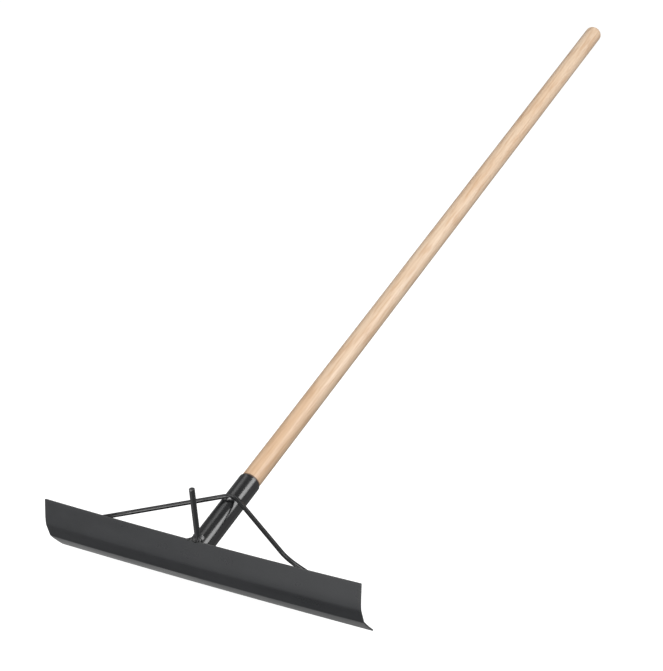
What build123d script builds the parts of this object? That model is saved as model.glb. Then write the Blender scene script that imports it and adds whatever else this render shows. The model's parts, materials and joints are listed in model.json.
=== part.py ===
from build123d import *
import os
from math import cos, radians, sin, tan

# Concrete placer: a folded steel blade with a welded socket, brace and lifting hook, on a wooden handle.
# The origin is in the middle of the working edge. X runs along the blade, Y towards the handle, and Z up
# the blade's flat panel. Lengths are in millimetres and angles in degrees.

# Blade, a strip of sheet with two folds: flat panel above, facet in the middle, lip below
blade_width = 495.0
sheet = 2.0
panel_height = 35.2
facet_height = 24.4
facet_angle = 24.6
lip_height = 34.5
lip_angle = 50.4
upper_fold_radius = 22.0
lower_fold_radius = 8.0
corner_radius = 1.2
sheet_edge_round = 0.4

# Handle, turned down a little over the length that goes into the socket; its axis meets the panel's front
# at a height above the upper fold
handle_length = 1371.6
handle_dia = 28.5
handle_rise = 22.5
handle_height = 18.6
handle_insert = 123.8
tenon_relief = 0.15
shoulder_run = 0.6
tip_round = 9.5
heel_chamfer = 3.0

# Socket tube
handle_clearance = 0.15
socket_wall = 1.625
socket_length = 140.0
rim_round = 0.6

# Screw that holds the handle, on the underside of the socket
screw_dia = 4.2
screw_length = 19.0
screw_point = 5.0
screw_clearance = 0.1
screw_below_rim = 30.0
screw_head_dia = 8.4
screw_head_height = 2.6
screw_head_round = 1.2
screw_slot_width = 1.2
screw_slot_depth = 1.1

# Lifting hook, a straight bar that leans forward over the blade
hook_dia = 7.9
hook_height = 78.5
hook_lean = 10.9
hook_end_round = 0.7

# Brace, a bar bent evenly about its middle and set a little to one side: a tight bend where it rests on the
# socket, and an easy bend before the tab at each end, which slopes down the blade's back
brace_dia = 6.35
brace_below_rim = 45.1
brace_side = 5.9
brace_crown_bend = 22.0
brace_inset = 116.8
brace_bend_rise = 7.0
brace_tab_bend = 60.0
brace_tab_length = 52.0
brace_tab_angle = 20.9
brace_end_round = 0.5

# Welds
weld_gap = 0.15
socket_weld_leg = 4.5
socket_weld_margin = 5.0
hook_weld_dia = 16.5
hook_weld_height = 3.3
hook_weld_depth = 6.2
saddle_weld_dia = 5.2
saddle_weld_wrap = 27.0
tab_weld_dia = 5.2
tab_weld_length = 15.0
tab_weld_margin = 2.0

# Allowance by which a cutting solid runs past what it cuts
overcut = 2.0

# Round solids stand on the plane that they are placed on
standing = (Align.CENTER, Align.CENTER, Align.MIN)


def leaning(length, angle):
    """A step of this length, up the blade and tilted forward from the vertical by this angle."""
    return Vector(0, -length * sin(radians(angle)), length * cos(radians(angle)))


# Lines of the blade's front face, from the working edge up
lip_edge = Vector(0, 0, 0)
lower_fold = lip_edge + leaning(lip_height, lip_angle)
upper_fold = lower_fold + leaning(facet_height, facet_angle)
panel_top = upper_fold + leaning(panel_height, 0)
panel_front = panel_top.Y
panel_back = panel_front + sheet
panel_rear_face = Plane(origin=(0, panel_back, 0), x_dir=(1, 0, 0), z_dir=(0, 1, 0))

# Axis of the handle
rise = radians(handle_rise)
axis_start = Vector(0, panel_front, upper_fold.Z + handle_height)
axis_dir = Vector(0, cos(rise), sin(rise))
axis_up = Vector(0, -sin(rise), cos(rise))
handle_axis = Axis(axis_start, axis_dir)
socket_foot = sheet / cos(rise)
socket_rim = socket_foot + socket_length
tenon_radius = handle_dia / 2 - tenon_relief
bore_radius = tenon_radius + handle_clearance
socket_radius = bore_radius + socket_wall
handle_heel = socket_rim - handle_insert
brace_station = socket_rim - brace_below_rim
screw_station = socket_rim - screw_below_rim


def on_axis(station, height=0.0, side=0.0):
    """The point at this distance along the handle's axis, above it and to the side."""
    return axis_start + axis_dir * station + axis_up * height + Vector(side, 0, 0)


def across(station):
    """The plane square to the handle's axis, with its local y upwards."""
    return Plane(origin=on_axis(station), x_dir=(-1, 0, 0), z_dir=axis_dir)


def bar(radius, start, end):
    """A round bar on the handle's axis between two stations."""
    return across(start) * Cylinder(radius, end - start, align=standing)


def upright(plane, radius, bottom, top):
    """A round bar along a plane's normal between two heights."""
    return plane * Pos(0, 0, bottom) * Cylinder(radius, top - bottom, align=standing)


# Blade
def make_blade():
    front_line = FilletPolyline(
        lip_edge, lower_fold, upper_fold, panel_top, radius=[lower_fold_radius, upper_fold_radius]
    )
    folded = make_brake_formed(sheet, blade_width, front_line, side=Side.RIGHT)
    folded = Pos(-folded.bounding_box().center().X, 0, 0) * folded
    corners = [edge for edge in folded.edges() if abs(edge.length - sheet) < sheet / 100]
    folded = fillet(corners, corner_radius)
    edge_round = min(sheet_edge_round, 0.3 * sheet)
    rims = [edge for edge in folded.edges() if not edge.is_interior]
    return fillet(rims, edge_round)


# Screw, along its own plane whose normal points down and out of the socket
screw_plane = Plane(origin=on_axis(screw_station), x_dir=(1, 0, 0), z_dir=-axis_up)


def screw_hole():
    """Hole for the screw through the socket's wall into the wood, blind just past the screw's point."""
    bottom = socket_radius - screw_length - screw_clearance
    return upright(screw_plane, screw_dia / 2 + screw_clearance, bottom, socket_radius + overcut)


def make_screw():
    straight_end = socket_radius - screw_length + screw_point
    shank = upright(screw_plane, screw_dia / 2, straight_end, socket_radius)
    point = screw_plane * Pos(0, 0, socket_radius - screw_length) * Cone(
        screw_dia / 8, screw_dia / 2, screw_point, align=standing
    )
    head_top = socket_radius + screw_head_height
    head = upright(screw_plane, screw_head_dia / 2, socket_radius - screw_head_height, head_top)
    head = fillet(head.edges().sort_by(Axis(on_axis(screw_station), -axis_up))[-1], screw_head_round)
    head -= bar(socket_radius, screw_station - screw_head_dia, screw_station + screw_head_dia)
    slot = Box(screw_slot_width, screw_head_dia, 2 * screw_slot_depth)
    cross_slot = Box(screw_head_dia, screw_slot_width, 2 * screw_slot_depth)
    return shank + point + head - screw_plane * Pos(0, 0, head_top) * (slot + cross_slot)


# Socket, mitred flush on the panel's back
def make_socket(blade):
    mitre_start = socket_foot - socket_radius * tan(rise) - overcut
    tube = bar(socket_radius, mitre_start, socket_rim)
    tube = fillet(tube.edges().sort_by(handle_axis)[-1], min(rim_round, 0.4 * socket_wall))
    tube -= bar(bore_radius, mitre_start - overcut, socket_rim + overcut)
    tube = split(tube, bisect_by=panel_rear_face, keep=Keep.TOP)
    return tube - blade - screw_hole()


# Handle
def make_handle():
    pole = bar(handle_dia / 2, socket_rim + shoulder_run, handle_heel + handle_length)
    pole = fillet(pole.edges().sort_by(handle_axis)[-1], tip_round)
    shoulder = across(socket_rim) * Cone(tenon_radius, handle_dia / 2, shoulder_run, align=standing)
    tenon = bar(tenon_radius, handle_heel, socket_rim)
    tenon = chamfer(tenon.edges().sort_by(handle_axis)[0], heel_chamfer)
    return pole + shoulder + tenon - screw_hole()


# Lifting hook, with its foot shaped to the top of the socket, which its axis meets at the hook's seat
lean = radians(hook_lean)
hook_dir = leaning(1, hook_lean)
hook_base = Vector(0, panel_back + weld_gap + hook_dia / 2 / cos(lean), panel_top.Z)
hook_plane = Plane(origin=hook_base, x_dir=(1, 0, 0), z_dir=hook_dir)
hook_seat = (socket_radius - (hook_base - axis_start).dot(axis_up)) / hook_dir.dot(axis_up)


def make_hook():
    shaft = upright(hook_plane, hook_dia / 2, hook_seat - hook_dia, hook_height)
    shaft = fillet(shaft.edges().sort_by(Axis(hook_base, hook_dir))[-1], hook_end_round)
    return shaft - bar(socket_radius + weld_gap, socket_foot - hook_dia, socket_foot + 3 * hook_dia)


# Brace, as corner points and bend radii of the bar's centre line
brace_reach = blade_width / 2 - brace_inset
tab_y = panel_back + weld_gap + brace_dia / 2
tab_step = brace_tab_length * cos(radians(brace_tab_angle))
tab_fall = brace_tab_length * sin(radians(brace_tab_angle))
crown = on_axis(brace_station, socket_radius + weld_gap + brace_dia / 2, brace_side)


def brace_tab(side):
    """Corners of the bar on one side, the end of its tab and the bend above it."""
    bend = Vector(brace_side + side * brace_reach, tab_y, panel_top.Z + brace_bend_rise)
    return [bend + Vector(side * tab_step, 0, -tab_fall), bend]


brace_corners = brace_tab(-1) + [crown] + brace_tab(1)[::-1]
brace_line = FilletPolyline(brace_corners, radius=[brace_tab_bend, brace_crown_bend, brace_tab_bend])
rest_station = (brace_line @ 0.5 - axis_start).dot(axis_dir)


def make_brace():
    rod = sweep(Plane(brace_line @ 0, z_dir=brace_line % 0) * Circle(brace_dia / 2), brace_line)
    rims = rod.edges().sort_by(Axis.X)
    return fillet([rims[0], rims[-1]], brace_end_round)


# Welds
def make_socket_weld(blade, side):
    """Fillet of filler metal along one side of the socket's mitred foot."""
    def ring(radius, lift):
        centre = on_axis(socket_foot) + Vector(0, lift, lift * tan(rise))
        return Plane(centre, x_dir=(1, 0, 0), z_dir=(0, 1, 0)) * Ellipse(radius, radius / cos(rise))

    rings = [ring(socket_radius + socket_weld_leg, 0), ring(socket_radius + weld_gap, socket_weld_leg)]
    bead = loft(rings)
    bead -= bar(socket_radius, socket_foot - 2 * socket_radius, socket_foot + 2 * socket_radius)
    reach = socket_radius + 2 * socket_weld_leg
    window = Pos(side * reach / 2, panel_back + reach / 2, axis_start.Z) * Box(
        reach, reach, panel_height - 2 * socket_weld_margin
    )
    return (bead & window) - blade


def make_hook_weld():
    """Collar of filler metal round the hook's foot, on the socket and the blade's top edge."""
    low = hook_seat - hook_weld_depth
    high = hook_seat + hook_weld_height
    collar = hook_plane * Pos(0, 0, low) * Cone(
        hook_weld_dia / 2, hook_dia / 2 + weld_gap, high - low, align=standing
    )
    collar -= upright(hook_plane, hook_dia / 2, low - overcut, high + overcut)
    collar -= bar(socket_radius, socket_foot - 2 * socket_radius, socket_foot + 2 * socket_radius)
    panel = Pos(0, panel_front, panel_top.Z) * Box(
        2 * hook_weld_dia, 2 * sheet, panel_height, align=(Align.CENTER, Align.CENTER, Align.MAX)
    )
    front_face = Plane((0, panel_front + sheet_edge_round, 0), x_dir=(1, 0, 0), z_dir=(0, 1, 0))
    return split(collar - panel, bisect_by=front_face, keep=Keep.TOP)


def make_saddle_weld(brace, direction):
    """Bead beside the brace where it rests on the socket, on its blade side or its handle side."""
    bead_radius = saddle_weld_dia / 2
    centre = on_axis(rest_station + direction * brace_dia / 2, socket_radius + bead_radius / 2)
    section = Plane(centre, x_dir=axis_dir, z_dir=(1, 0, 0)) * Circle(bead_radius)
    bead = revolve(section.rotate(handle_axis, -saddle_weld_wrap), handle_axis, 2 * saddle_weld_wrap)
    bead -= bar(socket_radius, rest_station - 2 * brace_dia, rest_station + 2 * brace_dia)
    return bead - brace


def make_tab_weld(brace, side):
    """Bead along the lower side of a brace tab, near its end, on the blade's back."""
    bead_radius = tab_weld_dia / 2
    tab_end, bend = brace_tab(side)
    along = (tab_end - bend).normalized()
    below = Vector(side * along.Z, 0, -side * along.X)
    lowest = tab_end - along * (tab_weld_margin + tab_weld_length) + below * brace_dia / 2
    start = Vector(lowest.X, panel_back + bead_radius / 2, lowest.Z)
    bead = upright(Plane(start, z_dir=along), bead_radius, 0, tab_weld_length)
    return split(bead - brace, bisect_by=panel_rear_face, keep=Keep.TOP)


blade = make_blade()
brace = make_brace()
parts = {
    "blade": blade,
    "socket": make_socket(blade),
    "handle": make_handle(),
    "handle_screw": make_screw(),
    "lift_hook": make_hook(),
    "brace_rod": brace,
    "socket_weld_left": make_socket_weld(blade, -1),
    "socket_weld_right": make_socket_weld(blade, 1),
    "hook_weld": make_hook_weld(),
    "brace_weld_left": make_tab_weld(brace, -1),
    "brace_weld_right": make_tab_weld(brace, 1),
    "saddle_weld_front": make_saddle_weld(brace, -1),
    "saddle_weld_rear": make_saddle_weld(brace, 1),
}

os.makedirs("parts", exist_ok=True)
for name, shape in parts.items():
    export_step(shape, f"parts/{name}.step")
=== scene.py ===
import json
import math
import bpy
import numpy as np
from mathutils import Euler, Matrix, Vector


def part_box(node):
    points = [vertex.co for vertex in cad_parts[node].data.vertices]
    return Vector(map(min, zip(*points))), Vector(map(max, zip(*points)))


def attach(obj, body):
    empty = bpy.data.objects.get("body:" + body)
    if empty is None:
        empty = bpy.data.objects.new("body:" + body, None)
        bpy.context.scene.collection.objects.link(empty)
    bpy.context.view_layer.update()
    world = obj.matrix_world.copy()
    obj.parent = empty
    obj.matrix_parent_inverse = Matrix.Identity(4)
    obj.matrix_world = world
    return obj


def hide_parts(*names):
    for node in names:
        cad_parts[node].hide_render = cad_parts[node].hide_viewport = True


# Concrete placer. Metres, blade along X, handle rising along +Y, working edge on the floor.
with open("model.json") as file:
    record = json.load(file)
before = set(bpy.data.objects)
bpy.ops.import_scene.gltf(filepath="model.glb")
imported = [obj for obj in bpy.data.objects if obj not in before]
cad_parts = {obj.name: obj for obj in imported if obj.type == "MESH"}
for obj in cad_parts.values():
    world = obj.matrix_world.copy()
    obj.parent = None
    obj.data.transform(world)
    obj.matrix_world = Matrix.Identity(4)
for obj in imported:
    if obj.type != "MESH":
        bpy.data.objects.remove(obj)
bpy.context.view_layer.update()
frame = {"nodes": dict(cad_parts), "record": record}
nodes = frame["nodes"]
mounts = {mount["name"]: mount for mount in frame["record"]["mounts"]}
mm = 0.001
print("frame loaded,", len(nodes), "nodes")


# shader maths: wraps one output socket, and arithmetic on it adds Math nodes
class Wire:
    def __init__(self, tree, socket=None):
        self.tree = tree
        self.socket = socket

    # any node: settings go in first, then socket values or links, and one output comes back
    def node(self, kind, settings, sockets, out=0):
        made = self.tree.nodes.new("ShaderNode" + kind)
        for key, value in settings.items():
            setattr(made, key, value)
        for key, value in sockets.items():
            if isinstance(value, Wire):
                self.tree.links.new(value.socket, made.inputs[key])
            else:
                made.inputs[key].default_value = value
        return Wire(self.tree, made.outputs[out] if made.outputs else None)

    def maths(self, operation, *values):
        return self.node("Math", {"operation": operation}, dict(enumerate(values)))

    def __add__(self, other):
        return self.maths("ADD", self, other)

    def __sub__(self, other):
        return self.maths("SUBTRACT", self, other)

    def __rsub__(self, other):
        return self.maths("SUBTRACT", other, self)

    def __mul__(self, other):
        return self.maths("MULTIPLY", self, other)

    def __truediv__(self, other):
        return self.maths("DIVIDE", self, other)

    def __rtruediv__(self, other):
        return self.maths("DIVIDE", other, self)

    def __pow__(self, other):
        return self.maths("POWER", self, other)

    __radd__ = __add__
    __rmul__ = __mul__

    # 0 below low, 1 above high, smooth between
    def between(self, low, high):
        settings = {"interpolation_type": "SMOOTHSTEP", "clamp": True}
        return self.node("MapRange", settings, {0: self, 1: low, 2: high})

    # colour mix, with this value as the factor
    def mix(self, colourA, colourB):
        return self.node("Mix", {"data_type": "RGBA"}, {0: self, 6: colourA, 7: colourB}, 2)

    # vector times a constant vector
    def stretch(self, factors):
        return self.node("VectorMath", {"operation": "MULTIPLY"}, {0: self, 1: factors})

    # how far a direction points along a constant one
    def dot(self, direction):
        return self.node("VectorMath", {"operation": "DOT_PRODUCT"}, {0: self, 1: direction}, "Value")

    def noise(self, scale, detail=2.0, roughness=0.5):
        sockets = {"Vector": self, "Scale": scale, "Detail": detail, "Roughness": roughness}
        return self.node("TexNoise", {}, sockets, "Fac")

    def bump(self, depth, under=None):
        sockets = {"Height": self, "Distance": depth, "Strength": 1.0}
        if under is not None:
            sockets["Normal"] = under
        return self.node("Bump", {}, sockets)


def newFinish(name):
    material = bpy.data.materials.new(name)
    material.use_nodes = True
    material.node_tree.nodes.clear()
    return material, Wire(material.node_tree)


def closeFinish(shade, sockets):
    shader = shade.node("BsdfPrincipled", {}, sockets)
    shade.node("OutputMaterial", {}, {"Surface": shader})


def rgb(red, green, blue):
    return (red, green, blue, 1.0)


# baked paint: two close tones in soft clouds, orange-peel bump, thin rubbed paint at the rims, and painted
# highlights: bare-steel spots laid where glints show
def paintFinish(name, look):
    material, shade = newFinish(name)
    place = shade.node("TexCoord", {}, {}, "Object")
    cloud = place.noise(look["cloudScale"], 4.0, 0.6)
    drag = place.stretch(look["dragStretch"]).noise(1.0, 1.0, 0.5)     # faint bands along the piece
    peel = place.noise(look["peelScale"], 2.0, 0.45)
    grit = place.noise(look["gritScale"], 2.0, 0.6)
    rim = shade.node("Attribute", {"attribute_name": "rim"}, {}, "Fac")
    flake = place.noise(look["chipScale"], 3.0, 0.7)
    chip = (rim * look["chipRim"] + flake * look["chipFlake"]).between(*look["chipSpan"])
    bare = shade.node("Attribute", {"attribute_name": "bare"}, {}, "Fac")     # painted highlight: bare-steel spots where glints show
    tone = (cloud * look["cloudShare"] + drag * (1 - look["cloudShare"])).between(*look["toneSpan"])
    colour = tone.mix(look["deep"], look["light"])
    colour = (rim * look["rimThin"]).mix(colour, look["rubbed"])
    colour = (chip * look["chipShow"]).mix(colour, look["primer"])
    colour = bare.mix(colour, look["steel"])
    rough = look["rough"] + (tone - 0.5) * look["roughSpread"] + chip * look["chipRough"]
    normal = grit.bump(look["gritDepth"], peel.bump(look["peelDepth"]))
    closeFinish(shade, {
        "Base Color": colour,
        "Roughness": rough,
        "Normal": normal,
        "IOR": look["ior"],
    })
    return material


bladeLook = {
    "deep": rgb(0.0205, 0.0215, 0.0235), "light": rgb(0.027, 0.0282, 0.0305),
    "rubbed": rgb(0.052, 0.052, 0.053), "primer": rgb(0.16, 0.16, 0.16), "steel": rgb(0.22, 0.22, 0.22),
    "rimThin": 0.35, "chipShow": 0.25, "chipScale": 240.0, "chipRim": 0.75, "chipFlake": 0.6,
    "chipSpan": (0.86, 1.08), "chipRough": 0.12,
    "cloudScale": 22.0, "cloudShare": 0.6, "dragStretch": (7.0, 45.0, 45.0), "toneSpan": (0.3, 0.7),
    "peelScale": 300.0, "peelDepth": 0.005 * mm, "gritScale": 2600.0, "gritDepth": 0.001 * mm,
    "rough": 0.3, "roughSpread": 0.07, "ior": 1.42,
}
enamelLook = {
    **bladeLook,
    "deep": rgb(0.005, 0.0052, 0.0056), "light": rgb(0.008, 0.0083, 0.009),
    "rubbed": rgb(0.02, 0.02, 0.021), "primer": rgb(0.1, 0.1, 0.1), "rimThin": 0.3, "chipShow": 0.2,
    "peelScale": 420.0, "peelDepth": 0.0012 * mm, "gritDepth": 0.0002 * mm,
    "rough": 0.22, "roughSpread": 0.05, "ior": 1.58,
}
# painted light: the same enamel as socket and brace, lightened on the hook to make up for shade falling on
# it
hookLitLook = {
    **enamelLook,
    "deep": rgb(0.018, 0.0184, 0.0192), "light": rgb(0.022, 0.0225, 0.0234),
}
weldLook = {
    **enamelLook, "steel": rgb(0.4, 0.4, 0.4), "rough": 0.3, "roughSpread": 0.1,
    "gritScale": 1500.0, "gritDepth": 0.006 * mm,
}

bladePaint = paintFinish("bladePaint", bladeLook)
socketPaint = paintFinish("socketPaint", enamelLook)
rodPaint = paintFinish("rodPaint", enamelLook)
hookPaint = paintFinish("hookPaint", hookLitLook)
weldPaint = paintFinish("weldPaint", weldLook)


# handle axis, shared by the handle, socket, brace, hook and welds
grip = mounts["handle_grip"]
axisDir = np.array(grip["axis"])
axisUp = np.array((0.0, -axisDir[2], axisDir[1]))
acrossDir = np.array((1.0, 0.0, 0.0))
panelFront = mounts["blade_front"]["pos_m"][1]
gripMiddle = np.array(grip["pos_m"])
axisStart = gripMiddle + axisDir * (panelFront - gripMiddle[1]) / axisDir[1]
gripRadius = grip["dims"]["r_mm"] * mm
gripLength = grip["dims"]["length_mm"] * mm
gripStart = float((gripMiddle - axisStart) @ axisDir) - gripLength / 2


woodLook = {
    "pale": rgb(0.618, 0.476, 0.346), "pink": rgb(0.562, 0.38, 0.238),
    "late": rgb(0.47, 0.31, 0.19), "pore": rgb(0.38, 0.24, 0.135),
    "streak": rgb(0.47, 0.29, 0.165), "stain": rgb(0.045, 0.018, 0.008),
    "ringPitch": 3.1 * mm, "pithSide": 31 * mm, "pithDrop": 58 * mm,
    "ringWander": 9 * mm, "wanderStretch": (14.0, 1.6, 14.0),
    "lateRise": (0.25, 0.85), "lateFall": (0.9, 1.0), "lateShare": 0.42, "lateFibre": (0.15, 0.75),
    "driftStretch": (40.0, 5.5, 40.0), "driftSpan": (0.34, 0.68), "lowShare": 0.5, "lowRun": 0.5,
    "fibreStretch": (1500.0, 22.0, 1500.0), "fibreDepth": 0.02 * mm,
    "poreStretch": (820.0, 34.0, 820.0), "poreSpan": (0.62, 0.74), "poreShare": 0.38,
    "poreLate": 0.6, "poreDepth": 0.7,
    "streakStretch": (300.0, 20.0, 300.0), "streakSpan": (0.46, 0.68), "streakShare": 0.6,
    "stainRun": (1.5 * mm, 3.2 * mm), "stainShare": 0.9,
    "rough": 0.46, "roughFibre": 0.16, "roughLate": 0.04, "coat": 0.2, "coatRough": 0.3,
}


# turned ash: growth rings about a pith beside the pole, colour drifting along it, short pores and streaks,
# and a dark band at the socket rim that is partly stain and partly painted shade of the gap
def woodFinish(name, look):
    material, shade = newFinish(name)
    turn = (math.atan2(axisDir[2], axisDir[1]), 0.0, 0.0)
    whole = shade.node("TexCoord", {}, {}, "Object")
    sockets = {"Vector": whole, "Location": tuple(axisStart), "Rotation": turn}
    place = shade.node("Mapping", {"vector_type": "TEXTURE"}, sockets)      # local Y runs up the handle
    wander = place.stretch(look["wanderStretch"]).noise(1.0, 2.0, 0.5) - 0.5
    parts = {axis: place.node("SeparateXYZ", {}, {0: place}, axis) for axis in ("X", "Y", "Z")}
    ringX = parts["X"] - look["pithSide"]
    ringZ = parts["Z"] + look["pithDrop"]
    radius = (ringX * ringX + ringZ * ringZ) ** 0.5 + wander * look["ringWander"]
    phase = shade.maths("FRACT", radius / look["ringPitch"])
    late = phase.between(*look["lateRise"]) * (1 - phase.between(*look["lateFall"]))
    drift = place.stretch(look["driftStretch"]).noise(1.0, 2.0, 0.55).between(*look["driftSpan"])
    fibre = place.stretch(look["fibreStretch"]).noise(1.0, 3.0, 0.65)
    pore = place.stretch(look["poreStretch"]).noise(1.0, 1.0, 0.5).between(*look["poreSpan"])
    pore = pore * (1 - late * look["poreLate"])                        # fewer in the late wood
    fromRim = parts["Y"] - gripStart
    low = 1 - fromRim.between(0.0, look["lowRun"])                     # pinker towards the socket
    colour = (drift * (1 - look["lowShare"]) + low * look["lowShare"]).mix(look["pale"], look["pink"])
    colour = (late * look["lateShare"] * fibre.between(*look["lateFibre"])).mix(colour, look["late"])
    colour = (pore * look["poreShare"]).mix(colour, look["pore"])
    streak = place.stretch(look["streakStretch"]).noise(1.0, 1.0, 0.5).between(*look["streakSpan"])
    colour = (streak * look["streakShare"]).mix(colour, look["streak"])
    # dark band next to the socket rim: partly stain, partly painted shade where the gap between wood and
    # socket falls dark
    stain = 1 - fromRim.between(*look["stainRun"])
    colour = (stain * look["stainShare"]).mix(colour, look["stain"])
    normal = (fibre - pore * look["poreDepth"]).bump(look["fibreDepth"])
    closeFinish(shade, {
        "Base Color": colour,
        "Roughness": look["rough"] + (fibre - 0.5) * look["roughFibre"] + late * look["roughLate"],
        "Normal": normal,
        "Coat Weight": look["coat"],
        "Coat Roughness": look["coatRough"],
    })
    return material


zincLook = {
    "bright": rgb(0.62, 0.62, 0.6), "dull": rgb(0.42, 0.43, 0.43), "spangleScale": 420.0,
    "turnScale": 3800.0, "turnDepth": 0.004 * mm, "rough": 0.28, "roughSpread": 0.16,
}


# zinc plate: cloudy spangle with fine turning marks
def zincFinish(name, look):
    material, shade = newFinish(name)
    place = shade.node("TexCoord", {}, {}, "Object")
    spangle = place.noise(look["spangleScale"], 3.0, 0.6).between(0.3, 0.7)
    turning = place.noise(look["turnScale"], 2.0, 0.6)
    closeFinish(shade, {
        "Base Color": spangle.mix(look["dull"], look["bright"]),
        "Roughness": look["rough"] + spangle * look["roughSpread"],
        "Normal": turning.bump(look["turnDepth"]),
        "Metallic": 1.0,
    })
    return material


ashWood = woodFinish("ashWood", woodLook)
zincPlate = zincFinish("zincPlate", zincLook)
finishes = (bladePaint, socketPaint, rodPaint, hookPaint, weldPaint, ashWood, zincPlate)
print("finishes made:", ", ".join(material.name for material in finishes))


def unit(vectors):
    return vectors / np.linalg.norm(vectors, axis=-1, keepdims=True)


# values from stop to stop, each span cut into its own number of steps
def spread(stops, counts):
    spans = [np.linspace(a, b, n, endpoint=False) for a, b, n in zip(stops, stops[1:], counts)]
    return np.concatenate(spans + [np.array(stops[-1:])])


# quads of a rows by columns grid of points, its last column or row joined to the first where it wraps
def gridQuads(rows, columns, wrapColumns=False, wrapRows=False):
    i = np.arange(rows if wrapRows else rows - 1)[:, None]
    j = np.arange(columns if wrapColumns else columns - 1)[None, :]
    iNext = (i + 1) % rows
    jNext = (j + 1) % columns
    corners = [i * columns + j, i * columns + jNext, iNext * columns + jNext, iNext * columns + j]
    return np.stack(corners, -1).reshape(-1, 4)


# triangles from one middle point to a ring of points, in the ring's own order
def fan(ring, middle):
    return np.stack([ring, np.roll(ring, -1), np.full(len(ring), middle)], -1)


# a piece from arrays: object at the origin, smooth but for sharp edges, riding on the one body, with one
# value a point for each named field
def makePiece(name, points, quads, triangles, material, slotName, replaced, **fields):
    mesh = bpy.data.meshes.new(name)
    mesh.from_pydata(points.reshape(-1, 3).tolist(), [], quads.tolist() + triangles.tolist())
    mesh.shade_smooth()
    mesh.set_sharp_from_angle(angle=sharpFrom)
    for field, values in fields.items():
        layer = mesh.attributes.new(field, "FLOAT", "POINT")
        layer.data.foreach_set("value", values.astype(np.float32).ravel())
    mesh.materials.append(material)
    mesh.validate()
    piece = bpy.data.objects.new(name, mesh)
    bpy.context.scene.collection.objects.link(piece)
    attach(piece, "root")
    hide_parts(replaced)
    return piece


noTriangles = np.zeros((0, 3), int)
sharpFrom = math.radians(40)
endRows = 7                                # rings in a rounded edge or bar end


# corner points joined by straight runs and tangent arcs, points about one step apart
def roundedPath(corners, radii, step):
    runs = [corners[0][None]]
    for before, corner, after, radius in zip(corners, corners[1:], corners[2:], radii):
        back = unit(before - corner)
        ahead = unit(after - corner)
        half = math.acos(back @ ahead) / 2
        start = corner + back * radius / math.tan(half)
        centre = corner + unit(back + ahead) * radius / math.sin(half)
        turn = math.pi - 2 * half
        angles = np.linspace(0, turn, max(6, int(radius * turn / step * 3)))[:, None]
        runs.append(runSteps(runs[-1][-1], start, step))
        runs.append(centre + np.cos(angles) * (start - centre) - np.sin(angles) * back * radius)
    runs.append(runSteps(runs[-1][-1], corners[-1], step))
    runs.append(corners[-1][None])
    return np.concatenate(runs)


# points strictly between two ends of a straight run
def runSteps(start, end, step):
    count = max(2, int(np.linalg.norm(end - start) / step))
    return start + (end - start) * np.linspace(0, 1, count + 1)[1:-1, None]


# round bar: rings of their own radius square to a path, both ends filled from a middle point
def barSurface(path, radii, reference, sides):
    steps = unit(np.diff(path, axis=0))
    travel = unit(np.concatenate([steps[:1], steps]) + np.concatenate([steps, steps[-1:]]))
    side = unit(np.cross(reference, travel))
    rise = np.cross(travel, side)
    angle = np.linspace(0, 2 * math.pi, sides, endpoint=False)[None, :, None]
    rings = np.cos(angle) * side[:, None] + np.sin(angle) * rise[:, None]
    return capBar(path[:, None] + np.asarray(radii)[:, None, None] * rings, path[0], path[-1])


def capBar(rings, firstMiddle, lastMiddle):
    rows, sides = rings.shape[:2]
    points = np.concatenate([rings.reshape(-1, 3), firstMiddle[None], lastMiddle[None]])
    firstRing = np.arange(sides)[::-1]
    lastRing = (rows - 1) * sides + np.arange(sides)
    triangles = np.concatenate([fan(firstRing, rows * sides), fan(lastRing, rows * sides + 1)])
    return points, gridQuads(rows, sides, wrapColumns=True), triangles


# how much a rounded end of the given radius draws in, at these distances from the end
def endInset(distance, radius):
    inside = np.clip(radius - distance, 0, radius)
    return radius - np.sqrt(radius ** 2 - inside ** 2)


# blade: front line leans by an angle that turns through two folds; sheet thickness is laid off behind it
bladeSet = {
    "sheet": 2 * mm, "edgeRound": 0.4 * mm, "cornerRound": 1.2 * mm,
    "lipHeight": 34.5 * mm, "lipLean": math.radians(50.4), "lowerFold": 8 * mm,
    "facetHeight": 24.4 * mm, "facetLean": math.radians(24.6), "panelHeight": 35.2 * mm,
    "foldTurn": 6 * mm, "foldEase": 13 * mm, "easeLean": math.radians(8),    # tight, then dying out
    "bowLip": 1.45 * mm, "bowTop": 2.8 * mm,                 # how much higher both ends stand
    "lipCurl": math.radians(3),                              # more lean at the edge, less at the fold
    "waveDepth": 0.09 * mm, "waveFade": 12 * mm, "waveOne": (31, 43, 9), "waveTwo": (67, 25),
    "rows": [14, 8, 9, 10, 8, 10], "columnStep": 6 * mm, "rimWear": 1.1 * mm,
}


# where the strip's lip, lower fold, facet, upper fold, its easing and the panel begin and end along it;
# the sums of the lean's sine and cosine through the upper fold keep facet and panel on their planes
def bladeStops(blade):
    turn = blade["lipLean"] - blade["facetLean"]
    lower = blade["lowerFold"] * math.tan(turn / 2)
    facet, ease = blade["facetLean"], blade["easeLean"]
    aside = blade["foldTurn"] * (math.cos(ease) - math.cos(facet)) / (facet - ease)
    aside = aside + blade["foldEase"] * (1 - math.cos(ease)) / ease
    rise = blade["foldTurn"] * (math.sin(facet) - math.sin(ease)) / (facet - ease)
    rise = rise + blade["foldEase"] * math.sin(ease) / ease
    below = aside / math.sin(facet)
    lengths = [
        blade["lipHeight"] - lower,
        blade["lowerFold"] * turn,
        blade["facetHeight"] - lower - below,
        blade["foldTurn"],
        blade["foldEase"],
        blade["panelHeight"] - (rise - below * math.cos(facet)),
    ]
    return np.concatenate([[0], np.cumsum(lengths)])


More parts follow.
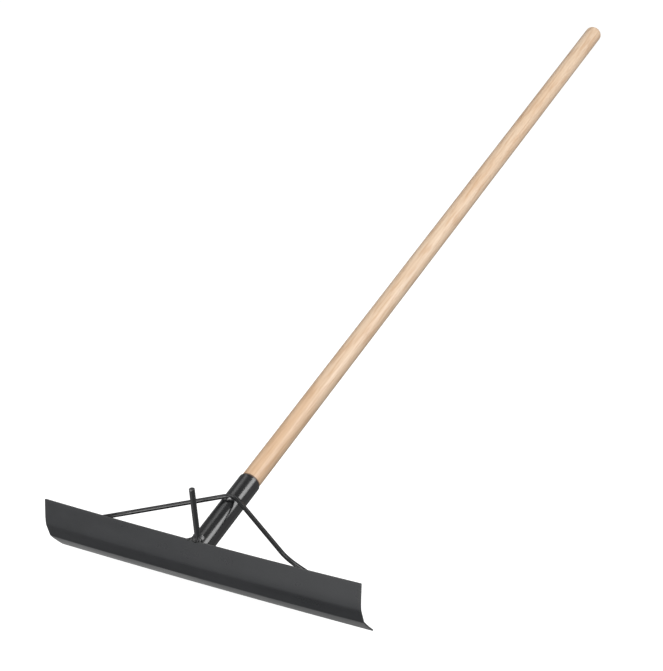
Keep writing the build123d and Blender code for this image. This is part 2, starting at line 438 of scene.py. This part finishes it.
# lean angle: straight ramps from stop to stop
def bladeLean(blade, along):
    leans = [blade["lipLean"] + blade["lipCurl"], blade["lipLean"] - blade["lipCurl"]]
    leans = leans + [blade["facetLean"], blade["facetLean"], blade["easeLean"], 0, 0]
    return np.interp(along, bladeStops(blade), leans)


# line of the front face: the lean's sine and cosine summed up from the working edge
def bladeLine(blade, along):
    fine = np.linspace(0, bladeStops(blade)[-1], 20001)
    lean = bladeLean(blade, fine)
    stepY = -np.sin((lean[1:] + lean[:-1]) / 2) * np.diff(fine)
    stepZ = np.cos((lean[1:] + lean[:-1]) / 2) * np.diff(fine)
    lineY = np.interp(along, fine, np.concatenate([[0], np.cumsum(stepY)]))
    lineZ = np.interp(along, fine, np.concatenate([[0], np.cumsum(stepZ)]))
    return lineY, lineZ, bladeLean(blade, along)


def bladeSurface(blade, width):
    stops = bladeStops(blade)
    length = stops[-1]
    edge = blade["edgeRound"] * (1 - np.cos(np.linspace(0, math.pi / 2, endRows)))
    edge = np.concatenate([edge, blade["cornerRound"] * np.array((0.5, 0.7, 1.0))])
    inner = spread([edge[-1], *stops[1:-1], length - edge[-1]], blade["rows"])
    along = np.concatenate([edge[:-1], inner, length - edge[-2::-1]])
    half = width / 2
    columns = np.linspace(0, half - 4 * edge[-1], int(half / blade["columnStep"]))
    columns = np.concatenate([columns, half - 2 * edge[-1:], half - edge[::-1]])
    columns = np.concatenate([-columns[:0:-1], columns])
    toEnd = np.minimum(along, length - along)
    cornerInset = endInset(toEnd, blade["cornerRound"])
    x = columns[None, :] * (1 - cornerInset / half)[:, None]
    # distance to the strip's outline, a rectangle with rounded corners
    a = half - np.abs(x)
    b = np.broadcast_to(toEnd[:, None], x.shape)
    inCorner = (a < blade["cornerRound"]) & (b < blade["cornerRound"])
    cornerGap = blade["cornerRound"] - np.hypot(blade["cornerRound"] - a, blade["cornerRound"] - b)
    toOutline = np.maximum(np.where(inCorner, cornerGap, np.minimum(a, b)), 0)
    drop = endInset(toOutline, blade["edgeRound"])
    lineY, lineZ, lean = bladeLine(blade, along)
    normal = np.stack([np.zeros_like(lean), -np.cos(lean), -np.sin(lean)], -1)[:, None]
    bow = np.interp(along, [0, length], [blade["bowLip"], blade["bowTop"]])[:, None] * (x / half) ** 2
    base = np.stack([x, np.broadcast_to(lineY[:, None], x.shape), lineZ[:, None] + bow], -1)
    # two crossing wave trains, in radians to the metre, that fade towards the outline
    up = along[:, None]
    runX, runUp, skew = blade["waveOne"]
    wave = np.sin(x * runX + 0.7) * np.cos(up * runUp + x * skew)
    runX, runUp = blade["waveTwo"]
    wave = wave + 0.6 * np.sin(x * runX + up * runUp)
    fade = np.minimum(toOutline / blade["waveFade"], 1)
    base = base + normal * (wave * blade["waveDepth"] * fade)[..., None]
    front = base - normal * drop[..., None]
    back = base - normal * (blade["sheet"] - drop)[..., None]
    rows, count = x.shape
    index = np.arange(rows * count).reshape(rows, count)
    outline = np.concatenate([index[0, :-1], index[:-1, -1], index[-1, :0:-1], index[:0:-1, 0]])
    ahead = np.roll(outline, -1)
    shift = rows * count
    quads = gridQuads(rows, count)
    strip = np.stack([outline, outline + shift, ahead + shift, ahead], -1)
    points = np.concatenate([front.reshape(-1, 3), back.reshape(-1, 3)])
    rim = np.tile(np.exp(-toOutline / blade["rimWear"]).ravel(), 2)
    return points, np.concatenate([quads, quads[:, ::-1] + shift, strip]), rim


bladeLow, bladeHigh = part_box("blade")
bladePoints, bladeQuads, bladeRim = bladeSurface(bladeSet, bladeHigh.x - bladeLow.x)
makePiece("blade_sheet", bladePoints, bladeQuads, noTriangles, bladePaint, "blade_paint", "blade",
          rim=bladeRim)
panelTop = bladeHigh.z
panelBack = panelFront + bladeSet["sheet"]
print("blade made,", len(bladeQuads), "quads")


# point on the handle axis at a station, moved up and aside; all of them may be arrays
def onAxis(station, height=0.0, side=0.0):
    station, height, side = (np.asarray(value, float)[..., None] for value in (station, height, side))
    return axisStart + axisDir * station + axisUp * height + acrossDir * side


# handle: a turned pole, so a radius for each station, with a faint hand-sanded unevenness round it
handleSet = {
    "tenonRelief": 0.15 * mm, "shoulder": 0.6 * mm, "insert": 123.8 * mm, "heelChamfer": 3 * mm,
    "tipRound": 9.5 * mm, "sanding": 0.05 * mm, "sandingEase": 40 * mm, "sides": 96, "rows": [2, 8, 2, 220],
    "tipRows": 14,
}


def handleSurface(handle):
    rimAt = gripStart - handle["shoulder"]
    heel = rimAt - handle["insert"]
    tip = gripStart + gripLength + handle["tipRound"]
    tipStart = tip - handle["tipRound"]
    tipSteps = handle["tipRound"] * np.sin(np.linspace(0, math.pi / 2, handle["tipRows"]))
    stops = [heel, heel + handle["heelChamfer"], rimAt, gripStart]
    stations = spread([*stops, tipStart], handle["rows"])
    stations = np.concatenate([stations[:-1], tipStart + tipSteps])
    tenon = gripRadius - handle["tenonRelief"]
    radii = np.interp(stations, stops, [tenon - handle["heelChamfer"], tenon, tenon, gripRadius])
    radii = radii - endInset(tip - stations, handle["tipRound"])
    sides = handle["sides"]
    angle = np.linspace(0, 2 * math.pi, sides, endpoint=False)[None, :]
    far = stations[:, None]
    # two and three low waves round the pole, turning and swelling slowly along it
    uneven = np.sin(2 * angle + far * 11) * np.sin(far * 7 + 1) + 0.5 * np.sin(3 * angle - far * 23 + 2)
    loose = np.clip((far - gripStart) / handle["sandingEase"], 0, 1)          # none inside the socket
    ring = radii[:, None] + uneven * handle["sanding"] * loose
    points = onAxis(np.broadcast_to(far, ring.shape), ring * np.sin(angle), -ring * np.cos(angle))
    return capBar(points, onAxis(heel), onAxis(tip))


handlePoints, handleQuads, handleFans = handleSurface(handleSet)
makePiece("handle_pole", handlePoints, handleQuads, handleFans, ashWood, "ash", "handle")
print("handle made,", len(handleQuads), "quads")


# socket: a tube wall carried round the axis, its foot at each angle run on to the blade's back
socketSet = {
    "wall": 1.625 * mm, "clearance": 0.15 * mm, "rimRound": 0.6 * mm, "rimWear": 1.5 * mm,
    "sides": 128, "wallRows": 30, "rimRows": 6, "boreRows": 16,
}
boreRadius = gripRadius - handleSet["tenonRelief"] + socketSet["clearance"]
socketRadius = boreRadius + socketSet["wall"]
socketRim = gripStart - handleSet["shoulder"]


# station where a line along the tube wall meets the blade's back, closed in on in a few steps
def footStation(height, side):
    along = np.linspace(0, bladeStops(bladeSet)[-1], 800)
    lineY, lineZ, lean = bladeLine(bladeSet, along)
    backY = lineY + bladeSet["sheet"] * np.cos(lean)
    backZ = lineZ + bladeSet["sheet"] * np.sin(lean)
    station = np.zeros(np.broadcast(height, side).shape)
    for _ in range(12):
        z = onAxis(station, height, side)[..., 2]
        meetY = np.interp(z, backZ, backY)
        station = (meetY - axisStart[1] - height * axisUp[1]) / axisDir[1]
    return station


def socketSurface(socket):
    sides, wall, bore = socket["sides"], socket["wallRows"], socket["boreRows"]
    angle = np.linspace(0, 2 * math.pi, sides, endpoint=False)[None, :]
    turn = np.linspace(0, math.pi / 2, socket["rimRows"])
    roundIn = socketRadius - socket["rimRound"] * (1 - np.cos(turn))
    roundUp = socket["rimRound"] * (1 - np.sin(turn))
    # rings run up the outside, over the rim and down the bore; short is how far each stays below the rim
    radii = np.concatenate([np.full(wall, socketRadius), roundIn, np.full(bore, boreRadius)])
    share = [np.linspace(0, 1, wall, endpoint=False), np.ones(socket["rimRows"]), np.linspace(1, 0, bore)]
    share = np.concatenate(share)
    short = np.concatenate([np.full(wall, socket["rimRound"]), roundUp, np.zeros(bore)])
    height = radii[:, None] * np.sin(angle)
    side = -radii[:, None] * np.cos(angle)
    foot = footStation(height, side)
    station = foot + share[:, None] * (socketRim - short[:, None] - foot)
    rim = np.exp(-np.maximum(socketRim - station, 0) / socket["rimWear"])
    points = onAxis(station, height, side)
    return points, gridQuads(len(radii), sides, wrapColumns=True, wrapRows=True), rim


socketPoints, socketQuads, socketRims = socketSurface(socketSet)
makePiece("socket_tube", socketPoints, socketQuads, noTriangles, socketPaint, "socket_paint", "socket",
          rim=socketRims)
print("socket made,", len(socketQuads), "quads")


# brace: one bar along a bent line, over the socket's top and down to a tab on the blade's back at each
# side, the whole of it a little to one side
braceSet = {
    "radius": 3.175 * mm, "gap": 0.15 * mm, "belowRim": 45.1 * mm, "side": 5.9 * mm, "crownBend": 22 * mm,
    "reach": 130.7 * mm, "bendRise": 7 * mm, "tabBend": 60 * mm, "tabLength": 52 * mm,
    "tabLean": math.radians(20.9), "endRound": 0.5 * mm, "endWear": 1 * mm, "sides": 40, "step": 4 * mm,
}


# corners of the bar on one side, the end of its tab and the bend above it
def braceTab(brace, side):
    tabY = panelBack + brace["gap"] + brace["radius"]
    bend = np.array((brace["side"] + side * brace["reach"], tabY, panelTop + brace["bendRise"]))
    tabDir = np.array((side * math.cos(brace["tabLean"]), 0, -math.sin(brace["tabLean"])))
    return [bend + tabDir * brace["tabLength"], bend]


def braceLine(brace):
    seat = socketRadius + brace["gap"] + brace["radius"]
    crown = onAxis(socketRim - brace["belowRim"], seat, brace["side"])
    corners = braceTab(brace, -1) + [crown] + braceTab(brace, 1)[::-1]
    return roundedPath(corners, [brace["tabBend"], brace["crownBend"], brace["tabBend"]], brace["step"])


# radius along a bar whose two ends are rounded
def endRounded(path, radius, endRound):
    far = np.concatenate([[0], np.cumsum(np.linalg.norm(np.diff(path, axis=0), axis=-1))])
    return radius - endInset(far, endRound) - endInset(far[-1] - far, endRound), far


# extra points close to both ends of a path, where the ends round off
def addEndSteps(path, endRound):
    inward = endRound * (1 - np.cos(np.linspace(0, math.pi / 2, endRows)))[:, None]
    first = path[0] + unit(path[1] - path[0]) * inward
    last = path[-1] + unit(path[-2] - path[-1]) * inward[::-1]
    return np.concatenate([first, path[1:-1], last])


def braceSurface(brace):
    path = addEndSteps(braceLine(brace), brace["endRound"])
    radii, far = endRounded(path, brace["radius"], brace["endRound"])
    rim = np.exp(-np.minimum(far, far[-1] - far) / brace["endWear"])
    points, quads, fans = barSurface(path, radii, axisUp, brace["sides"])
    return points, quads, fans, np.concatenate([np.repeat(rim, brace["sides"]), [1, 1]])


bracePoints, braceQuads, braceFans, braceRim = braceSurface(braceSet)
makePiece("brace_bar", bracePoints, braceQuads, braceFans, rodPaint, "rod_paint", "brace_rod",
          rim=braceRim)
print("brace made,", len(braceQuads), "quads")


# hook: a straight bar whose foot follows the top of the socket
hookSet = {
    "radius": 3.95 * mm, "height": 78.5 * mm, "endRound": 0.7 * mm, "gap": 0.15 * mm, "endWear": 1.2 * mm,
    "sides": 64, "rows": 41, "rowCrowd": 1.7,                # rows crowd together near the end
    # painted highlight: a bare-steel spot on the rounded top end, where a glint shows
    "bareAt": math.radians(274), "bareWide": math.radians(24), "bareDown": 0.8 * mm, "bareTall": 0.7 * mm,
}
hookDir = np.array(mounts["lift_hook_bar"]["axis"])
hookBack = np.cross(hookDir, acrossDir)
hookLean = math.acos(hookDir[2])
hookBase = np.array((0.0, panelBack + hookSet["gap"] + hookSet["radius"] / math.cos(hookLean), panelTop))


# spoke round the hook at an angle
def hookSpoke(angle):
    return np.cos(angle)[..., None] * acrossDir + np.sin(angle)[..., None] * hookBack


# height along the hook where it meets a tube of this radius on the handle axis, from a quadratic
def heightOnTube(out, angle, radius):
    start = hookBase + out[..., None] * hookSpoke(angle)
    offset = start - axisStart
    offset = offset - (offset @ axisDir)[..., None] * axisDir
    climb = hookDir - (hookDir @ axisDir) * axisDir
    b = offset @ climb
    c = np.sum(offset * offset, -1) - radius ** 2
    return start, (-b + np.sqrt(np.maximum(b * b - (climb @ climb) * c, 0))) / (climb @ climb)


def hookSurface(hook):
    angle = np.linspace(0, 2 * math.pi, hook["sides"], endpoint=False)[None, :]
    inward = hook["endRound"] * (1 - np.cos(np.linspace(0, math.pi / 2, endRows)))[::-1]
    climb = 1 - np.linspace(1, 0, hook["rows"], endpoint=False) ** hook["rowCrowd"]
    share = np.concatenate([climb, np.ones(endRows)])[:, None]
    short = np.concatenate([np.full(hook["rows"], hook["endRound"]), inward])[:, None]
    radii = hook["radius"] - endInset(np.where(share < 1, hook["endRound"], short), hook["endRound"])
    start, seat = heightOnTube(np.full(angle.shape, hook["radius"]), angle, socketRadius + hook["gap"])
    height = seat + share * (hook["height"] - short - seat)
    points = hookBase + radii[..., None] * hookSpoke(angle) + height[..., None] * hookDir
    down = hook["height"] - height
    rim = np.exp(-down / hook["endWear"])
    # painted highlight near the top end, drawn as bare steel
    around = (angle - hook["bareAt"]) / hook["bareWide"]
    bare = np.exp(-around ** 2 - ((down - hook["bareDown"]) / hook["bareTall"]) ** 2)
    surface = capBar(points, hookBase + hookDir * seat.mean(), hookBase + hookDir * hook["height"])
    return (*surface, np.concatenate([rim.ravel(), [0, 0]]), np.concatenate([bare.ravel(), [0, 0]]))


hookPoints, hookQuads, hookFans, hookRim, hookGlint = hookSurface(hookSet)
makePiece("hook_bar", hookPoints, hookQuads, hookFans, hookPaint, "rod_paint", "lift_hook",
          rim=hookRim, bare=hookGlint)
print("hook made,", len(hookQuads), "quads")


# weld beads
beadSet = {
    "across": 14, "ripplePitch": 1.7 * mm, "ripple": 0.08, "rippleBow": 0.35, "crown": 0.2, "uneven": 0.1,
    "endRun": 3 * mm, "endOut": 0.1 * mm,
}
dice = np.random.default_rng(11)


# fillet bead: at each point of the root a section runs from one toe over a bulging rippled face to the
# other toe and back through the root; open beads close in at both ends
def beadSurface(bead, root, toeA, toeB, closed, crown):
    line = np.concatenate([root, root[:1]]) if closed else root
    far = np.concatenate([[0], np.cumsum(np.linalg.norm(np.diff(line, axis=0), axis=-1))])
    total = far[-1]
    far = far[:-1] if closed else far
    turns = np.arange(2, 6)[:, None]
    lumps = np.sum(np.sin(2 * math.pi * turns * far / total + dice.uniform(0, 6.28, (4, 1))) / turns, 0)
    size = 1 + bead["uneven"] * lumps
    if not closed:
        toEnd = np.minimum(far, total - far)
        size = size * np.sqrt(np.clip(1 - (1 - np.minimum(toEnd / bead["endRun"], 1)) ** 2, 0.01, 1))
    q = np.linspace(0, 1, bead["across"])[None, :]
    count = round(total / bead["ripplePitch"])
    ripple = np.cos(2 * math.pi * (count * far[:, None] / total + bead["rippleBow"] * (2 * q - 1) ** 2))
    legA = (toeA - root) * size[:, None]
    legB = (toeB - root) * size[:, None]
    outward = unit(legA + legB)
    reach = np.linalg.norm(legA - legB, axis=-1)[:, None]
    swell = 4 * q * (1 - q) * reach * (crown + bead["ripple"] * ripple)
    face = legA[:, None] * (1 - q)[..., None] + legB[:, None] * q[..., None]
    face = root[:, None] + face + outward[:, None] * swell[..., None]
    rings = np.concatenate([face, root[:, None]], 1)
    if closed:
        return rings, gridQuads(*rings.shape[:2], wrapColumns=True, wrapRows=True), noTriangles
    middles = root + outward * bead["endOut"]
    return capBar(rings, middles[0], middles[-1])


def makeBead(name, replaced, root, toeA, toeB, closed=False, crown=beadSet["crown"], **fields):
    points, quads, fans = beadSurface(beadSet, root, toeA, toeB, closed, crown)
    makePiece(name, points, quads, fans, weldPaint, "weld_paint", replaced, **fields)


# painted highlight on a bead, drawn as a rubbed bare-steel spot: a bell along it times a bell across it,
# nothing at the root and in the end caps
def glintSpot(along, across, caps):
    q = np.linspace(0, 1, beadSet["across"])
    spot = along[:, None] * np.exp(-((q - across["at"]) / across["wide"]) ** 2)
    return np.concatenate([np.pad(spot, ((0, 0), (0, 1))).ravel(), np.zeros(caps)])


socketBead = {"leg": 4.5 * mm, "halfSpan": math.radians(43), "steps": 90}
for side, name in ((-1, "left"), (1, "right")):
    angle = np.linspace(-socketBead["halfSpan"], socketBead["halfSpan"], socketBead["steps"]) * side
    height = socketRadius * np.sin(angle)
    aside = side * socketRadius * np.cos(angle)
    root = onAxis(footStation(height, aside), height, aside)
    outward = unit(np.stack([aside * axisDir[1] ** 2, 0 * aside, (root - axisStart)[:, 2]], -1))
    makeBead("socket_bead_" + name, "socket_weld_" + name, root, root + outward * socketBead["leg"],
             root + axisDir * socketBead["leg"])

tabBead = {"length": 15 * mm, "margin": 2 * mm, "spill": 5.2 * mm, "hold": math.radians(82), "steps": 70}
for side, name in ((-1, "left"), (1, "right")):
    tabEnd, bend = braceTab(braceSet, side)
    tabDir = unit(tabEnd - bend)
    below = np.array((side * tabDir[2], 0, -side * tabDir[0]))
    far = tabBead["margin"] + np.linspace(tabBead["length"], 0, tabBead["steps"])
    core = tabEnd - tabDir * far[:, None]
    intoPanel = np.array((0, -1.0, 0))
    root = core + intoPanel * braceSet["radius"]
    grab = intoPanel * math.cos(tabBead["hold"]) + below * math.sin(tabBead["hold"])
    toeRod = core + braceSet["radius"] * grab
    toePanel = root + below * tabBead["spill"] + intoPanel * braceSet["gap"]
    pair = (toePanel, toeRod) if side > 0 else (toeRod, toePanel)
    makeBead("tab_bead_" + name, "brace_weld_" + name, root, *pair)

saddleBead = {
    "from": -7.6 * mm, "to": 8.4 * mm, "spill": 4.6 * mm, "hold": math.radians(72), "steps": 70,
    # lump and painted highlight (a bare-steel spot) of the bead in front
    "lump": 0.25, "lumpSpill": 2.0 * mm, "lumpAt": 2.0 * mm, "lumpWide": 2.6 * mm,
    "rubbedAt": 4.5 * mm, "rubbedWide": 2.5 * mm, "rubbedAcross": {"at": 0.15, "wide": 0.25},
    "rubbedClimb": math.radians(35),
}
crownLine = braceLine(braceSet)
for way, name in ((-1, "front"), (1, "rear")):
    aside = np.linspace(saddleBead["from"], saddleBead["to"], saddleBead["steps"])
    core = np.stack([aside] + [np.interp(aside, crownLine[:, 0], crownLine[:, k]) for k in (1, 2)], -1)
    station = (core - axisStart) @ axisDir
    root = onAxis(station, np.sqrt(socketRadius ** 2 - aside ** 2), aside)
    lump = np.exp(-((aside - saddleBead["lumpAt"]) / saddleBead["lumpWide"]) ** 2)[:, None] * (way < 0)
    toeTube = root + way * axisDir * (saddleBead["spill"] + saddleBead["lumpSpill"] * lump)
    # painted highlight: bare-steel spot where a glint shows, the bead climbing the bar there
    rubbed = np.exp(-((aside - saddleBead["rubbedAt"]) / saddleBead["rubbedWide"]) ** 2) * (way < 0)
    hold = (saddleBead["hold"] + saddleBead["rubbedClimb"] * rubbed)[:, None]
    toeRod = core + braceSet["radius"] * (way * axisDir * np.sin(hold) - axisUp * np.cos(hold))
    pair = (toeRod, toeTube) if way < 0 else (toeTube, toeRod)
    crown = beadSet["crown"] + saddleBead["lump"] * lump
    spot = glintSpot(rubbed, saddleBead["rubbedAcross"], 2)
    makeBead("saddle_bead_" + name, "saddle_weld_" + name, root, *pair, crown=crown, bare=spot)

hookBead = {
    "spread": 8.4 * mm, "spreadWave": 0.08, "climb": 3.6 * mm, "climbWave": 0.15, "steps": 180,
    "frontGap": 0.5 * mm, "overRun": 0.4, "overWave": 0.25, "overCrown": 0.15,
    "spill": 2.4 * mm, "lift": 0.3 * mm,
    "tongue": 9.5 * mm, "tongueAt": math.radians(201), "tongueWide": math.radians(14), "tongueHollow": 0.35,
    # painted highlight: a bare-steel spot on the collar where a glint shows
    "rubbedAt": math.radians(12), "rubbedWide": math.radians(20), "rubbedAcross": {"at": 0.5, "wide": 0.25},
    "rubbedShare": 0.6,
}


# collar of weld round the hook's foot, on the socket's top, with a hollow tongue along the blade's top
# edge; where it would stand out beyond the sheet it runs over the edge and a little down the front
def makeHookBead(bead):
    angle = np.linspace(0, 2 * math.pi, bead["steps"], endpoint=False)
    forward = np.maximum(-(np.sin(angle) * hookBack[1]), 1e-3)
    frontRoom = (hookBase[1] - panelFront - bead["frontGap"]) / forward
    tongue = np.exp(-((angle - bead["tongueAt"]) / bead["tongueWide"]) ** 2)
    out = bead["spread"] * (1 + bead["spreadWave"] * np.sin(3 * angle + 1)) + bead["tongue"] * tongue
    beyond = np.clip((out / frontRoom - 1) / bead["overRun"], 0, 1)
    beyond = beyond * (1 + bead["overWave"] * np.sin(7 * angle))
    out = np.minimum(out, frontRoom)
    start, onTube = heightOnTube(out, angle, socketRadius)
    overSheet = start[:, 1] < panelBack
    onSheet = np.where(overSheet, (panelTop - start[:, 2]) / hookDir[2], -1)
    toeOut = start + np.maximum(onTube, onSheet)[:, None] * hookDir
    toeOut[:, 1] -= (bead["frontGap"] + bead["lift"]) * np.minimum(3 * beyond, 1)
    toeOut[:, 2] -= bead["spill"] * beyond
    start, seat = heightOnTube(np.full(angle.shape, hookSet["radius"]), angle, socketRadius)
    root = start + seat[:, None] * hookDir
    climb = bead["climb"] * (1 + bead["climbWave"] * np.sin(2 * angle + 2))
    toeUp = root + hookDir * climb[:, None]
    crown = beadSet["crown"] - bead["tongueHollow"] * tongue + bead["overCrown"] * beyond
    # painted highlight on the collar, drawn as bare steel
    around = (angle - bead["rubbedAt"] + math.pi) % (2 * math.pi) - math.pi
    rubbed = bead["rubbedShare"] * np.exp(-(around / bead["rubbedWide"]) ** 2)
    spot = glintSpot(rubbed, bead["rubbedAcross"], 0)
    makeBead("hook_bead", "hook_weld", root, toeUp, toeOut, True, crown[:, None], bare=spot)


makeHookBead(hookBead)
nodes["handle_screw"].data.materials.clear()
nodes["handle_screw"].data.materials.append(zincPlate)
print("beads made, screw plated")


# studio: pale floor that only the camera sees, five soft boxes, and a surround that is brightest in front
# at the horizon, dim to the right, with a low glow behind the blade
studio = {
    "floorHalf": 14.0, "floorPale": rgb(0.3, 0.3, 0.3), "floorDeep": rgb(0.295, 0.295, 0.295),
    "floorCloud": 1.5, "floorGlow": 3.2,
    "below": 0.15, "horizon": 0.38, "overhead": 0.3, "tilt": (-0.25, 0.0, 1.0), "belowSpan": (-0.8, -0.1),
    "overheadSpan": (0.0, 0.5),
    "frontAim": (0.8, -0.42, -0.41), "frontSpan": (-0.03, 0.25), "frontGain": 2.45,
    "lowAim": (-0.58, 0.57, -0.58), "lowSpan": (0.9, 1.0), "lowGain": 0.37,
    "rightSpan": (0.1, 0.6), "rightDim": 0.8, "boxAway": 2.4,
}
softBoxes = {
    "rightBox": {"over": (0, 0.1, 0.1), "aim": (0.686, 0.346, 0.642), "size": (1.5, 1.15), "power": 34.5},
    "topBox": {"over": (0, 0.1, 0.1), "aim": (-0.374, 0.24, 0.896), "size": (0.3, 1.6), "power": 3.0},
    "keyBox": {"over": (0, 0.8, 0.45), "aim": (0.2, -0.65, 0.73), "size": (1.5, 1.5), "power": 21.5},
    "leftBox": {"over": (0, 0.3, 0.25), "aim": (-0.5, -0.5, 0.7), "size": (1.0, 1.0), "power": 7.5},
    "frontBox": {"over": (-0.08, 0, 0.09), "aim": (0.335, -0.925, 0.17), "size": (1.2, 1.15), "power": 18.0},
}


def makeFloor(look):
    half = look["floorHalf"]
    mesh = bpy.data.meshes.new("floor")
    corners = [(-half, -half, 0), (half, -half, 0), (half, half, 0), (-half, half, 0)]
    mesh.from_pydata(corners, [], [(0, 1, 2, 3)])
    material, shade = newFinish("floorPaper")
    cloud = shade.node("TexCoord", {}, {}, "Object").noise(look["floorCloud"], 2.0, 0.5)
    paper = cloud.mix(look["floorPale"], look["floorDeep"])
    sockets = {"Base Color": paper, "Roughness": 0.85, "Specular IOR Level": 0.2}
    closeFinish(shade, {**sockets, "Emission Color": paper, "Emission Strength": look["floorGlow"]})
    mesh.materials.append(material)
    floor = bpy.data.objects.new("floor", mesh)
    floor.visible_diffuse = False
    floor.visible_glossy = False
    floor.visible_shadow = False
    bpy.context.scene.collection.objects.link(floor)


def makeSurround(look):
    world = bpy.data.worlds.new("surround")
    world.use_nodes = True
    world.node_tree.nodes.clear()
    shade = Wire(world.node_tree)
    toward = shade.node("TexCoord", {}, {}, "Generated")
    rise = shade.node("SeparateXYZ", {}, {0: toward}, "Z")
    right = shade.node("SeparateXYZ", {}, {0: toward}, "X")
    front = toward.dot(look["frontAim"]).between(*look["frontSpan"])
    horizon = look["horizon"] + front * look["frontGain"]
    horizon = horizon * (1 - right.between(*look["rightSpan"]) * look["rightDim"])
    tilted = toward.dot(look["tilt"]).between(*look["belowSpan"])
    level = look["below"] + tilted * (horizon - look["below"])
    level = level - rise.between(*look["overheadSpan"]) * (horizon - look["overhead"])
    level = level + toward.dot(look["lowAim"]).between(*look["lowSpan"]) * look["lowGain"]
    glow = shade.node("Background", {}, {"Color": rgb(1, 1, 1), "Strength": level})
    shade.node("OutputWorld", {}, {"Surface": glow})
    bpy.context.scene.world = world


def makeBoxes(boxes, away):
    for name, box in boxes.items():
        lamp = bpy.data.lights.new(name, "AREA")
        lamp.shape = "RECTANGLE"
        lamp.size, lamp.size_y = box["size"]
        lamp.energy = box["power"]
        holder = bpy.data.objects.new(name, lamp)
        toward = Vector(box["aim"]).normalized()
        holder.location = Vector(box["over"]) + toward * away
        holder.rotation_mode = "QUATERNION"
        holder.rotation_quaternion = toward.to_track_quat("Z", "Y")
        holder.visible_camera = False
        bpy.context.scene.collection.objects.link(holder)


makeFloor(studio)
makeSurround(studio)
makeBoxes(softBoxes, studio["boxAway"])

# camera at the photograph's place, in its 663 by 671 frame
shot = {"eye": (1.23559, -1.88542, 1.07423), "yaw": 29.355, "down": 17.707, "roll": 1.518, "lens": 99.196}


def makeCamera(look):
    camera = bpy.data.objects.new("camera", bpy.data.cameras.new("camera"))
    camera.data.lens = look["lens"]
    camera.data.sensor_width = 36.0
    camera.data.clip_end = 60.0
    camera.location = look["eye"]
    turn = Euler((math.radians(90 - look["down"]), 0, math.radians(look["yaw"]))).to_matrix()
    camera.rotation_mode = "QUATERNION"
    roll = Matrix.Rotation(math.radians(look["roll"]), 3, "Z")
    camera.rotation_quaternion = (turn @ roll).to_quaternion()
    bpy.context.scene.collection.objects.link(camera)
    bpy.context.scene.camera = camera


makeCamera(shot)
bpy.context.scene.view_settings.view_transform = "Standard"
print("studio and camera set")
